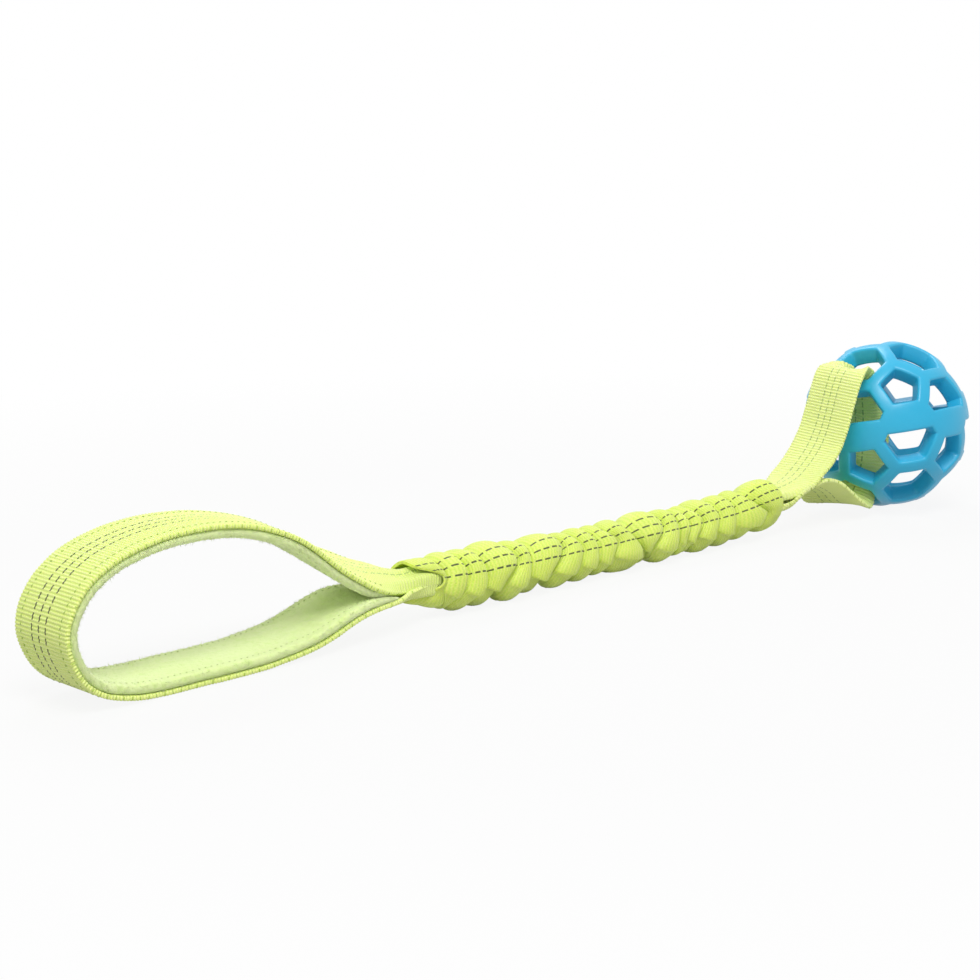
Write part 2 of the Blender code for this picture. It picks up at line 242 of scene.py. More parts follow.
# Studio. A lamp has a place, a width and a power.
sky_lighting = 0.46
floor_half_width = 6
floor_drop = 0.0002
floor_colour = (0.6, 0.6, 0.6, 1)
floor_fade = (0.22, 0.5)
floor_least_glow = 0.9
key_light = ((-0.5, -0.7, 1.5), 0.9, 20)
back_light = ((0.6, 0.9, 1.2), 0.8, 8)

# The hand loop's outer face from the lower gather round to the upper one: distance from the seam as
# a share of the loop's length, height as a share of the loop's height, width share, cup and roll
loop_rows = [
    (-0.06, 0.172, 0.74, -45, -4),
    (0.0, 0.170, 0.88, -26, -3),
    (0.125, 0.172, 1.0, -4, 0),
    (0.27, 0.062, 1.0, 0, 0),
    (0.40, 0.012, 1.0, 0, 0),
    (0.50, 0.0, 1.0, 0, 0),
    (0.62, 0.0, 1.0, 0, 0),
    (0.74, 0.0, 1.0, 0, 0),
    (0.83, 0.022, 1.0, 0, 0),
    (0.91, 0.085, 1.0, 0, 0),
    (0.968, 0.215, 1.0, 0, 0),
    (1.0, 0.42, 1.0, 0, 0),
    (0.988, 0.61, 1.0, 0, 0),
    (0.93, 0.795, 1.0, 0, 0),
    (0.83, 0.922, 1.0, 0, 0),
    (0.68, 0.985, 1.0, 0, 0),
    (0.50, 0.955, 1.0, 0, 0),
    (0.33, 0.815, 1.0, 0, 4),
    (0.18, 0.575, 1.0, 0, 12),
    (0.08, 0.45, 1.0, -6, 16),
    (0.0, 0.395, 0.88, -26, 16),
    (-0.06, 0.357, 0.74, -45, 10),
]

# The ball strap's middle from the upper gather round to the lower one: X and Z from the ball's
# centre as shares of its radius, width share, cup, roll and skew
strap_rows = [
    (-2.06, -0.497, 0.64, -38, 0, 0),
    (-1.87, -0.465, 0.87, -16, -4, 0),
    (-1.69, -0.40, 1.0, 0, -6, 3),
    (-1.47, -0.245, 1.0, 0, -3, 7),
    (-1.30, -0.075, 1.0, 2, 0, 10),
    (-1.185, 0.12, 1.0, 2, 0, 12),
    (-1.10, 0.33, 1.0, 2, 0, 12),
    (-1.03, 0.515, 1.0, 0, 0, 12),
    (-0.96, 0.66, 1.0, 0, 0, 12),
    (-0.885, 0.742, 0.98, 0, 0, 12),
    (-0.80, 0.75, 0.86, 8, 0, 12),
    (-0.735, 0.705, 0.72, 56, 0, 12),
    (-0.672, 0.635, 0.72, 90, 0, 12),
    (-0.59, 0.53, 0.80, 104, 0, 11),
    (-0.55, 0.32, 0.92, 88, 0, 8),
    (-0.53, 0.0, 0.96, 78, 0, 0),
    (-0.54, -0.30, 0.92, 88, 0, -6),
    (-0.58, -0.495, 0.86, 108, 0, -10),
    (-0.65, -0.645, 0.84, 106, 0, -11),
    (-0.735, -0.765, 0.84, 66, 0, -11),
    (-0.85, -0.83, 0.92, 10, 4, -7),
    (-0.99, -0.79, 1.0, 4, 8, -2),
    (-1.16, -0.655, 1.0, 0, 6, 0),
    (-1.38, -0.56, 1.0, 0, 12, 0),
    (-1.62, -0.47, 1.0, 0, 8, 0),
    (-1.87, -0.565, 0.85, -16, 4, 0),
    (-2.06, -0.715, 0.64, -38, 0, 0),
]

# The bungee's middle and outer radius: share of its length, then shares of its radius
bungee_rows = [
    (0.0, 1.18, 0.81),
    (0.055, 1.10, 0.97),
    (0.13, 1.02, 1.03),
    (0.20, 0.99, 1.0),
    (0.30, 0.94, 0.92),
    (0.50, 0.92, 0.90),
    (0.72, 0.92, 0.90),
    (0.86, 0.96, 0.93),
    (0.94, 1.10, 0.88),
    (1.0, 1.22, 0.85),
]

# Creases of the sheath: places along X at the angles named below, then depths on top, at the near
# side and underneath
crease_rows = [
    (-0.0687, -0.0680, -0.0698, -0.0672, 0.0013, 0.0013, 0.0016),
    (-0.0589, -0.0580, -0.0599, -0.0645, 0.0024, 0.0029, 0.0021),
    (-0.0499, -0.0491, -0.0496, -0.0532, 0.0026, 0.0032, 0.0024),
    (-0.0329, -0.0328, -0.0401, -0.0418, 0.0030, 0.0036, 0.0052),
    (-0.0248, -0.0260, -0.0270, -0.0281, 0.0022, 0.0029, 0.0024),
    (-0.0072, -0.0093, -0.0154, -0.0172, 0.0030, 0.0036, 0.0052),
    (-0.0003, 0.0012, -0.0007, -0.0020, 0.0024, 0.0029, 0.0024),
    (0.0087, 0.0093, 0.0089, 0.0092, 0.0024, 0.0030, 0.0032),
    (0.0163, 0.0201, 0.0171, 0.0174, 0.0024, 0.0032, 0.0023),
    (0.0272, 0.0295, 0.0336, 0.0362, 0.0027, 0.0032, 0.0029),
    (0.0474, 0.0458, 0.0386, 0.0392, 0.0024, 0.0036, 0.0052),
    (0.0554, 0.0543, 0.0540, 0.0544, 0.0023, 0.0029, 0.0021),
    (0.0600, 0.0607, 0.0586, 0.0590, 0.0019, 0.0026, 0.0021),
    (0.0658, 0.0682, 0.0644, 0.0630, 0.0030, 0.0036, 0.0050),
    (0.0776, 0.0781, 0.0760, 0.0783, 0.0022, 0.0029, 0.0023),
    (0.0877, 0.0877, 0.0868, 0.0892, 0.0020, 0.0029, 0.0023),
    (0.0964, 0.1010, 0.1070, 0.1012, 0.0028, 0.0024, 0.0046),
]
sheath_rim = (-0.0800, -0.0702, -0.0724, -0.0815)
sheath_end = (0.1145, 0.1157, 0.1148, 0.1162)
crease_angles = (110, 150, 190, 240)


def smooth_rows(rows):
    """A smooth curve through rows of numbers, with a row at each step along its first two columns."""
    rows = np.array(rows, float)
    padded = np.vstack([2 * rows[0] - rows[1], rows, 2 * rows[-1] - rows[-2]])
    fine = []
    for before, start, end, after in zip(padded, padded[1:], padded[2:], padded[3:]):
        for t in np.linspace(0, 1, curve_samples, endpoint=False):
            linear = (end - before) * t
            square = (2 * before - 5 * start + 4 * end - after) * t**2
            cube = (3 * start - before - 3 * end + after) * t**3
            fine.append(0.5 * (2 * start + linear + square + cube))
    fine = np.array(fine + [rows[-1]])
    along = arc_lengths(fine[:, :2])
    return rows_at(fine, along, np.linspace(0, along[-1], round(along[-1] / strip_step) + 1))


def rows_at(rows, along, places):
    """The rows of numbers in between those given, at places measured as along is."""
    return np.array([np.interp(places, along, column) for column in rows.T]).T


def arc_lengths(points):
    steps = np.linalg.norm(np.diff(points, axis=0), axis=-1)
    return np.concatenate([np.zeros((1,) + steps.shape[1:]), np.cumsum(steps, axis=0)])


def ease(share):
    share = np.clip(share, 0, 1)
    return share * share * (3 - 2 * share)


def waves(a, b, seed):
    """Smooth irregular values between -1 and 1 from two arrays of coordinates, in radians."""
    total = np.sin(a * 1.0 + seed) * np.cos(b * 1.3 - 0.7 * seed)
    total = total + 0.6 * np.sin(a * 2.3 - b * 1.7 + 2.1 * seed)
    total = total + 0.4 * np.sin(a * 3.9 + b * 3.1 + 1.3 * seed)
    return total / 2


def bungee_section(x):
    """Height of the bungee's middle and its outer radius at places along it."""
    shares = np.array(bungee_rows)
    along = (x - bungee_start_x) / bungee_length
    middle, radius = (np.interp(along, shares[:, 0], shares[:, i]) for i in (1, 2))
    return middle * bungee_radius, radius * bungee_radius


def tube_object(name, points, along, across, material, sharp_angle=strip_sharp_angle, closed=False):
    """Rings of points joined into a tube, with its metres along and across it."""
    faces, uvs = tube_faces(along, across, closed)
    return mapped_object(name, points.reshape(-1, 3).tolist(), faces, uvs, material, sharp_angle)


def tube_faces(along, across, closed=False):
    """Faces between a tube's rings, with their UVs, from the metres along and across it.

    The last ring of a closed tube meets its first. Any other has a cap at each end.
    """
    stations, columns = along.shape
    rings = stations if closed else stations - 1
    index = np.arange(stations * columns).reshape(stations, columns)
    across = np.broadcast_to(across, (stations, columns + 1))
    here, ahead = across[:, :-1], across[:, 1:]
    corner_across = np.stack([here, ahead, ahead, here], axis=-1)
    faces = at_corners(index)[:rings].reshape(-1, 4).tolist()
    uvs = np.stack([at_corners(along), corner_across], axis=-1)[:rings].reshape(-1, 2)
    if not closed:
        faces += [index[0][::-1].tolist(), index[-1].tolist()]
        first = np.stack([along[0][::-1], here[0][::-1]], axis=-1)
        last = np.stack([along[-1], here[-1]], axis=-1)
        uvs = np.vstack([uvs, first, last])
    return faces, uvs


def at_corners(values):
    """A tube's values at the four corners of each face, from those at its points."""
    below, right = np.roll(values, -1, axis=0), np.roll(values, -1, axis=1)
    return np.stack([values, right, np.roll(below, -1, axis=1), below], axis=-1)


def mapped_object(name, points, faces, uvs, material, sharp_angle):
    """An object whose UV map holds metres along it and across it."""
    mesh = bpy.data.meshes.new(name)
    mesh.from_pydata(points, [], faces)
    layer = mesh.uv_layers.new(name="along_across")
    layer.data.foreach_set("uv", np.array(uvs, np.float32).ravel())
    return mesh_object(name, mesh, material, sharp_angle)


def mesh_object(name, mesh, material, sharp_angle):
    work = bmesh.new()
    work.from_mesh(mesh)
    bmesh.ops.recalc_face_normals(work, faces=work.faces)
    work.to_mesh(mesh)
    work.free()
    mesh.shade_smooth()
    mesh.set_sharp_from_angle(angle=math.radians(sharp_angle))
    obj = bpy.data.objects.new(name, mesh)
    obj.data.materials.append(material)
    bpy.context.scene.collection.objects.link(obj)
    return obj


def strip_section(width, top, bottom, edge_round):
    """Points round a strip: place across it and depth under its outer face."""
    half = width / 2
    flat = np.linspace(-half + edge_round, half - edge_round, strip_columns + 1)
    middle_depth = (top + bottom) / 2
    side_round = min(edge_round, (bottom - top) / 2)
    upper = [
        (half - edge_round + edge_round * math.sin(a), top + side_round * (1 - math.cos(a)))
        for a in np.radians([30, 60, 90])
    ]
    lower = [(place, 2 * middle_depth - depth) for place, depth in upper[::-1]]
    edge = upper + lower
    section = [(place, top) for place in flat] + edge
    section += [(place, bottom) for place in flat[::-1]]
    section += [(-place, depth) for place, depth in edge[::-1]]
    return np.array(section)


def strip_frames(rows):
    """For each row of a strip: its middle, the direction across it and its outward direction."""
    slopes = np.gradient(rows[:, :2], axis=0)
    slopes /= np.linalg.norm(slopes, axis=1)[:, None]
    roll = np.radians(rows[:, 4])[:, None]
    nought = np.zeros(len(rows))
    outward = np.stack([-slopes[:, 1], nought, slopes[:, 0]], axis=-1)
    sideways = np.array([0, 1, 0])
    lateral = np.cos(roll) * sideways + np.sin(roll) * outward
    normal = np.cos(roll) * outward - np.sin(roll) * sideways
    middle = np.stack([rows[:, 0], nought, rows[:, 1]], axis=-1)
    return middle, lateral, normal


def strip_points(rows, places, depths):
    """Points of a strip at places across it and depths under its outer face, one column for each."""
    middle, lateral, normal = (part[:, None] for part in strip_frames(rows))
    width, cup, skew = rows[:, 2:3], np.radians(rows[:, 3:4]), np.radians(rows[:, 5:6])
    angle = cup * places / (width / 2)
    cupped = np.abs(angle) > least_cup
    safe = np.where(cupped, angle, 1)
    reach = np.where(cupped, places / safe * np.sin(safe), places)
    lift = np.where(cupped, places / safe * (1 - np.cos(safe)), 0)
    face = np.cos(angle)[..., None] * normal - np.sin(angle)[..., None] * lateral
    points = middle + reach[..., None] * lateral + lift[..., None] * normal
    points = points - depths[..., None] * face
    points[..., 0] += points[..., 1] * np.tan(skew)
    points[..., 2] = np.maximum(points[..., 2], 0)
    return points


def strip_object(name, rows, top, bottom, edge_round, material, relief=None, woven=False):
    """A strip along the rows, whose relief says how far each of its points stands out."""
    sections = np.array([strip_section(width, top, bottom, edge_round) for width in rows[:, 2]])
    places, depths = sections[..., 0], sections[..., 1]
    across = places[int(np.argmax(rows[:, 2]))]
    along = np.repeat(arc_lengths(rows[:, :2])[:, None], places.shape[1], axis=1)
    if relief is not None:
        depths = depths - relief(along, places, depths)
    if woven:
        face = 1 - 2 * (sections[..., 1] - top) / (bottom - top)
        rib = np.sin(along * (2 * math.pi / rib_pitch))
        depths = depths - rib_height * rib * face
        edge = (places / rows[:, 2:3] * 2) ** 2
        ripple = edge_ripple * waves(along / edge_ripple_length, np.sign(places) * 2, 0.5)
        ripple += edge_teeth * rib
        places = places * (1 + edge * ripple / rows[:, 2:3] * 2)
    points = strip_points(rows, places, depths)
    return tube_object(name, points, along, np.append(across, across[0]), material)


def with_laps(rows, mouth_x, lap_length, lap_width, rises):
    """Smooth rows of a strip whose two ends run into a mouth of the sheath."""
    share, cup = lap_width / webbing_width, -math.degrees(lap_cup)
    middles = [(x, bungee_section(x)[0]) for x in (mouth_x + lap_length, mouth_x)]
    first = [(x, middle + rises[0], share, cup, 0, 0) for x, middle in middles]
    last = [(x, middle + rises[1], share, cup, 0, 0) for x, middle in middles[::-1]]
    rows = smooth_rows(first + rows + last)
    rows[:, 2] = np.clip(rows[:, 2], share, 1) * webbing_width
    return rows


def loop_path():
    rows = [
        (loop_seam_x - along * loop_length, up * loop_height, *rest, 0)
        for along, up, *rest in loop_rows
    ]
    return with_laps(rows, bungee_start_x, handle_lap_length, handle_lap_width, handle_lap_rises)


def strap_path():
    rows = [
        (ball_x + x * ball_radius, ball_radius + z * ball_radius, *rest)
        for x, z, *rest in strap_rows
    ]
    return with_laps(rows, bungee_end_x, -ball_lap_length, ball_lap_width, ball_lap_rises)


class Sums:
    """Short ways to write the sums of a node tree."""

    def __init__(self, tree):
        self.tree = tree

    def node(self, kind, inputs=(), **settings):
        made = self.tree.nodes.new(kind)
        for name, value in settings.items():
            setattr(made, name, value)
        for key, value in dict(inputs).items():
            self.feed(made.inputs[key], value)
        return made

    def feed(self, socket, value):
        if isinstance(value, bpy.types.NodeSocket):
            self.tree.links.new(value, socket)
        else:
            socket.default_value = value

    def math(self, operation, *values):
        return self.node("ShaderNodeMath", enumerate(values), operation=operation).outputs[0]

    def repeat(self, value, pitch):
        """How far a value has come through its present pitch, from 0 to 1."""
        return self.math("FRACT", self.math("DIVIDE", value, pitch))

    def mix(self, share, first, second):
        made = self.node("ShaderNodeMix", data_type="RGBA")
        self.feed(made.inputs["Factor"], share)
        for socket, value in (("A", first), ("B", second)):
            self.feed(made.inputs[socket], (*value, 1) if isinstance(value, tuple) else value)
        return made.outputs["Result"]

    def position(self):
        return self.node("ShaderNodeTexCoord").outputs["Object"]

    def along_across(self):
        uv = self.node("ShaderNodeUVMap", uv_map="along_across").outputs["UV"]
        split = self.node("ShaderNodeSeparateXYZ", {"Vector": uv})
        return split.outputs["X"], split.outputs["Y"]

    def noise(self, position, scale, detail):
        inputs = {"Vector": position, "Scale": scale, "Detail": detail}
        return self.node("ShaderNodeTexNoise", inputs).outputs["Fac"]

    def range(self, value, low, high, to_low=0, to_high=1):
        inputs = {"Value": value, "From Min": low, "From Max": high}
        inputs.update({"To Min": to_low, "To Max": to_high})
        return self.node("ShaderNodeMapRange", inputs).outputs["Result"]


class Finish(Sums):
    """A material and its sums."""

    def __init__(self, name, **levels):
        self.material = bpy.data.materials.new(name)
        self.material.use_nodes = True
        super().__init__(self.material.node_tree)
        self.shader = self.tree.nodes["Principled BSDF"]
        for socket, value in levels.items():
            self.shader.inputs[socket.replace("_", " ")].default_value = value

    def colour(self, value):
        self.feed(self.shader.inputs["Base Color"], value)

    def bump(self, height, distance):
        made = self.node("ShaderNodeBump", {"Height": height, "Distance": distance})
        self.feed(self.shader.inputs["Normal"], made.outputs["Normal"])


def webbing_finish(name, colours, tracer_highlight=None, glow=0.25, selvedge=True):
    """Ribbed webbing with three dashed tracer threads, which may pale along the hand loop as a painted
    reflection.
    """
    light, deep, valley_shade, tracer = colours
    finish = Finish(
        name,
        Roughness=0.6,
        Sheen_Weight=0.3,
        Sheen_Roughness=0.4,
        Sheen_Tint=webbing_sheen,
        Subsurface_Weight=glow,
        Subsurface_Radius=webbing_glow_reach,
        Subsurface_Scale=1,
    )
    position = finish.position()
    along, across = finish.along_across()
    warp_index = finish.math("FLOOR", finish.math("DIVIDE", across, warp_pitch))
    shift = finish.math("MULTIPLY", finish.math("MODULO", warp_index, 2), rib_shift)
    turn = finish.math("MULTIPLY", along, 2 * math.pi / rib_pitch)
    rib = finish.range(finish.math("SINE", finish.math("ADD", turn, shift)), -1, 1)
    warp = finish.math("SINE", finish.math("MULTIPLY", across, math.pi / warp_pitch))
    warp = finish.math("ABSOLUTE", warp)
    weave = finish.math("ADD", finish.math("MULTIPLY", rib, 0.7), finish.math("MULTIPLY", warp, 0.3))
    patch = finish.noise(position, scale=55, detail=4)
    fibre = finish.noise(position, scale=1800, detail=2)
    body = finish.mix(patch, deep, light)
    # Painted shade: the valleys between the ribs take a darker colour.
    body = finish.mix(finish.range(weave, 0.05, 0.75), valley_shade, body)
    body = finish.mix(finish.range(fibre, 0.35, 0.75, 0, 0.3), body, webbing_fuzz_colour)
    dashed = finish.math("LESS_THAN", finish.repeat(along, tracer_pitch), tracer_dash_share)
    lines = [finish.math("COMPARE", across, middle, tracer_width / 2) for middle in tracer_lines]
    line = finish.math("MAXIMUM", finish.math("MAXIMUM", *lines[:2]), lines[2])
    # The dots at the selvedge are the edge seam's under-threads, darkened as painted shade.
    if selvedge:
        dot = finish.math("LESS_THAN", finish.repeat(along, selvedge_dot_pitch), selvedge_dot_share)
        edge = finish.math("GREATER_THAN", finish.math("ABSOLUTE", across), selvedge_dot_place)
        body = finish.mix(finish.math("MULTIPLY", edge, dot), body, selvedge_dot_shade_colour)
    # Painted reflection: the tracers pale from the loop's far end towards the sheath.
    if tracer_highlight:
        x = finish.node("ShaderNodeSeparateXYZ", {"Vector": position}).outputs["X"]
        tracer = finish.mix(finish.range(x, *tracer_highlight_x), tracer, tracer_highlight)
    finish.colour(finish.mix(finish.math("MULTIPLY", line, dashed), body, tracer))
    finish.bump(finish.math("ADD", weave, finish.math("MULTIPLY", fibre, 0.35)), rib_depth)
    return finish.material


def fleece_finish():
    finish = Finish(
        "brushed_fleece",
        Roughness=0.95,
        Sheen_Weight=0.6,
        Sheen_Roughness=0.6,
        Sheen_Tint=fleece_sheen,
        Subsurface_Weight=0.3,
        Subsurface_Radius=fleece_glow_reach,
        Subsurface_Scale=1,
    )
    position = finish.position()
    nap = finish.noise(position, scale=420, detail=6)
    fuzz = finish.noise(position, scale=2600, detail=3)
    patch = finish.noise(position, scale=45, detail=3)
    body = finish.mix(patch, *fleece_colours)
    # Painted shade: the colour darkens where the nap's bump is low, in its hollows.
    finish.colour(finish.mix(finish.range(nap, 0.3, 0.5, 0.55, 0), body, fleece_hollow_shade_colour))
    finish.bump(finish.math("ADD", nap, finish.math("MULTIPLY", fuzz, 0.45)), fleece_grain)
    return finish.material


def thread_finish(name, colour):
    finish = Finish(name, Roughness=0.5, Sheen_Weight=0.3)
    along, across = finish.along_across()
    along_turn = finish.math("MULTIPLY", along, thread_turn_along)
    across_turn = finish.math("MULTIPLY", across, thread_turn_across)
    ply = finish.range(finish.math("SINE", finish.math("ADD", along_turn, across_turn)), -1, 1)
    # Painted shade: the grooves between the plies take a darker colour.
    groove_shade = tuple(thread_groove_shade_share * channel for channel in colour)
    finish.colour(finish.mix(ply, groove_shade, colour))
    finish.bump(ply, thread_ply_depth)
    return finish.material


def elastic_finish():
    finish = Finish("braided_elastic", Roughness=0.7, Sheen_Weight=0.3)
    along, across = finish.along_across()
    rib = finish.math("SINE", finish.math("MULTIPLY", across, 2 * math.pi / elastic_rib_pitch))
    pick = finish.math("SINE", finish.math("MULTIPLY", along, 2 * math.pi / elastic_pick_pitch))
    weave = finish.range(finish.math("MULTIPLY", rib, pick), -1, 1)
    # Painted shade: the braid is darker where its weave's bump is low.
    finish.colour(finish.mix(weave, *elastic_colours))
    finish.bump(weave, elastic_weave_depth)
    return finish.material


def rubber_finish():
    finish = Finish("moulded_rubber")
    position = finish.position()
    patch = finish.noise(position, scale=60, detail=4)
    grain = finish.noise(position, scale=1500, detail=3)
    finish.colour(finish.mix(patch, *rubber_colours))
    finish.feed(finish.shader.inputs["Roughness"], finish.range(patch, 0.3, 0.7, 0.32, 0.42))
    finish.bump(grain, rubber_grain)
    return finish.material


def puckers(rows, size, where=1):
    """Lengthwise puckers where a strip narrows, for its relief."""
    height, count = size
    narrow = np.clip((1 - rows[:, 2:3] / webbing_width) / pucker_full_narrowing, 0, 1) * where

    def relief(along, places, depths):
        return height * narrow * np.cos(places / rows[:, 2:3] * 2 * math.pi * count)

    return relief


def make_loop(webbing, fleece, thread, fleece_thread):
    rows = loop_path()
    gather = puckers(rows, loop_puckers)
    strap = strip_object(
        "hand_loop_webbing", rows, 0, webbing_thickness, webbing_edge_round, webbing, gather, woven=True
    )
    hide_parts("handle_webbing")
    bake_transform(strap, "handle", "bungee", (left_bend[0], 0, 0), (left_bend[1], 0, 0))
    lined = rows[rows[:, 0] < lining_end_x]
    make_lining(lined, fleece)
    make_nap(lined, fleece)
    inside = webbing_thickness + lining_gap + lining_thickness + lining_stitch_rise
    for side, word in ((-1, "front"), (1, "back")):
        node = "handle_edge_seam_" + word
        make_edge_stitches("hand_loop_stitches_" + word, node, lined, side, 0, -1, thread)
        make_edge_stitches("lining_stitches_" + word, node, lined, side, inside, 1, fleece_thread)


def make_lining(rows, fleece):
    rows = rows[::lining_row_skip]
    top = webbing_thickness + lining_gap
    thinning = lining_thinning(arc_lengths(rows[:, :2]))[:, None]

    def relief(along, places, depths):
        down = depths - top
        lump = fleece_lump_pitch / (2 * math.pi)
        lumps = waves(along / lump, (places + 3 * down) / lump, 0.8)
        lumps += 0.7 * waves(along / lump * 2.2, (places - 2 * down) / lump * 1.9, 2.3)
        crown = lining_crown * np.cos(places / (webbing_width / 2) * math.pi / 2)
        share = np.clip(down / lining_thickness, 0, 1)
        return down * (1 - thinning) - share * (fleece_lump * lumps + crown)

    shown = rows.copy()
    shown[:, 2] -= 2 * lining_side_margin
    bottom, edge_round = top + lining_thickness, lining_thickness * lining_edge_share
    lining = strip_object("hand_loop_lining", shown, top, bottom, edge_round, fleece, relief)
    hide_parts("handle_lining")
    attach(lining, "handle")


def lining_thinning(along):
    """Share of the lining's full thickness at distances along it, less towards its two ends."""
    ends = np.minimum(along, along[-1] - along)
    return lining_least_share + (1 - lining_least_share) * np.sqrt(ease(ends / lining_taper))


def make_nap(rows, fleece):
    """Short fibres that stand out of the lining's face and sides."""
    random = np.random.default_rng(nap_seed)
    along = arc_lengths(rows[:, :2])
    at = np.sort(random.uniform(nap_end_margin, along[-1] - nap_end_margin, nap_count))
    picked = rows_at(rows, along, at)
    thickness = lining_thickness * np.interp(at, along, lining_thinning(along))
    side = random.choice([-1, 0, 0, 0, 1], nap_count)
    spread = random.uniform(-1, 1, nap_count)
    places = np.where(side == 0, spread, side) * (picked[:, 2] / 2 - lining_side_margin - nap_root)
    top = webbing_thickness + lining_gap
    depths = np.where(side == 0, top + thickness - nap_root, top + thickness * (0.5 + 0.4 * spread))
    reach = nap_root + nap_length * random.uniform(nap_least_share, 1, nap_count)
    tip_places = places + side * reach
    tip_depths = depths + (side == 0) * reach
    roots = strip_points(picked, places[:, None], depths[:, None])[:, 0]
    tips = strip_points(picked, tip_places[:, None], tip_depths[:, None])[:, 0]
    tips += random.normal(0, nap_lean, (nap_count, 3)) * nap_length
    tips[:, 2] = np.maximum(tips[:, 2], 0)
    ahead = tips - roots
    ahead /= np.linalg.norm(ahead, axis=1)[:, None]
    first = np.cross(ahead, nap_twist)
    first /= np.linalg.norm(first, axis=1)[:, None]
    second = np.cross(ahead, first)
    corners = [
        roots + nap_radius * (math.cos(turn) * first + math.sin(turn) * second)
        for turn in np.radians([0, 120, 240])
    ]
    points = np.stack([*corners, tips], axis=1).reshape(-1, 3)
    base = np.arange(nap_count)[:, None, None] * 4
    faces = (base + np.array([[0, 2, 1], [0, 1, 3], [1, 2, 3], [2, 0, 3]])).reshape(-1, 3)
    mesh = bpy.data.meshes.new("hand_loop_nap")
    mesh.from_pydata(points.tolist(), [], faces.tolist())
    nap = mesh_object("hand_loop_nap", mesh, fleece, all_smooth_angle)
    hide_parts("handle_lining")
    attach(nap, "handle")


def make_edge_stitches(name, node, rows, side, face_depth, outward, thread):
    """A row of lockstitches along one face of the hand loop, a little sunk into it."""
    along = arc_lengths(rows[:, :2])
    place = side * (webbing_width / 2 - edge_seam_inset)
    shares = np.linspace(0, 1, stitch_stations)
    rise = np.sin(math.pi * shares) ** stitch_fullness
    sunk = face_depth + outward * stitch_radius * (stitch_arch * rise - stitch_sink)
    radii = stitch_radius * (stitch_end_share + (1 - stitch_end_share) * rise)
    turns = np.linspace(0, 2 * math.pi, stitch_sides, endpoint=False)
    places = place + radii[:, None] * np.cos(turns)
    depths = sunk[:, None] + radii[:, None] * np.sin(turns)
    thread_along = np.arange(stitch_stations)[:, None] * stitch_length / stitch_stations
    thread_across = np.arange(stitch_sides + 1) * stitch_radius
    stitch_faces, uvs = tube_faces(thread_along + np.zeros(stitch_sides), thread_across)
    points, faces = [], []
    starts = np.arange(stitch_pitch, along[-1] - 2 * stitch_pitch, stitch_pitch)
    for start in starts:
        picked = rows_at(rows, along, start + stitch_length * shares)
        faces += [[len(points) + corner for corner in face] for face in stitch_faces]
        points += strip_points(picked, places, depths).reshape(-1, 3).tolist()
    uvs = np.tile(uvs, (len(starts), 1))
    stitches = mapped_object(name, points, faces, uvs, thread, stitch_sharp_angle)
    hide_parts(node)
    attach(stitches, "handle")


def round_tube(values, angles):
    """Values round the sheath from those at four angles, with its far side in between."""
    top, under = values[:, :1], values[:, -1:]
    far = [under + (top - under) * share for share in (0.25, 0.5, 0.75)]
    values = np.hstack([values, *far])
    gap = (crease_angles[0] + 360 - crease_angles[-1]) / 4
    far_angles = [crease_angles[-1] + gap * i for i in (1, 2, 3)]
    knots = np.radians([*crease_angles, *far_angles])
    spans = np.append(knots, knots[0] + 2 * math.pi)
    turn = (angles - knots[0]) % (2 * math.pi) + knots[0]
    here = np.clip(np.searchsorted(spans, turn, side="right") - 1, 0, len(knots) - 1)
    ahead = np.diff(spans)
    after, before = np.roll(values, -1, axis=1), np.roll(values, 1, axis=1)
    slope = (after - before) / (ahead + np.roll(ahead, 1))
    t = (turn - knots[here]) / ahead[here]
    leaving, arriving = slope[:, here], np.roll(slope, -1, axis=1)[:, here]
    start, end = values[:, here], after[:, here]
    curve = (leaving * (t**3 - 2 * t**2 + t) + arriving * (t**3 - t**2)) * ahead[here]
    return start + (end - start) * (3 * t**2 - 2 * t**3) + curve


def uneven(count, angles, seed):
    """Smooth irregular values round the sheath, about between -1 and 1, a row for each of a count."""
    random = np.random.default_rng(seed)
    total = np.zeros((count, len(angles)))
    for turns in (1, 2, 3, 4, 5):
        size, phase = random.uniform(-1, 1, (count, 1)), random.uniform(0, 2 * math.pi, (count, 1))
        total += size * np.cos(turns * angles + phase) / 2
    return total


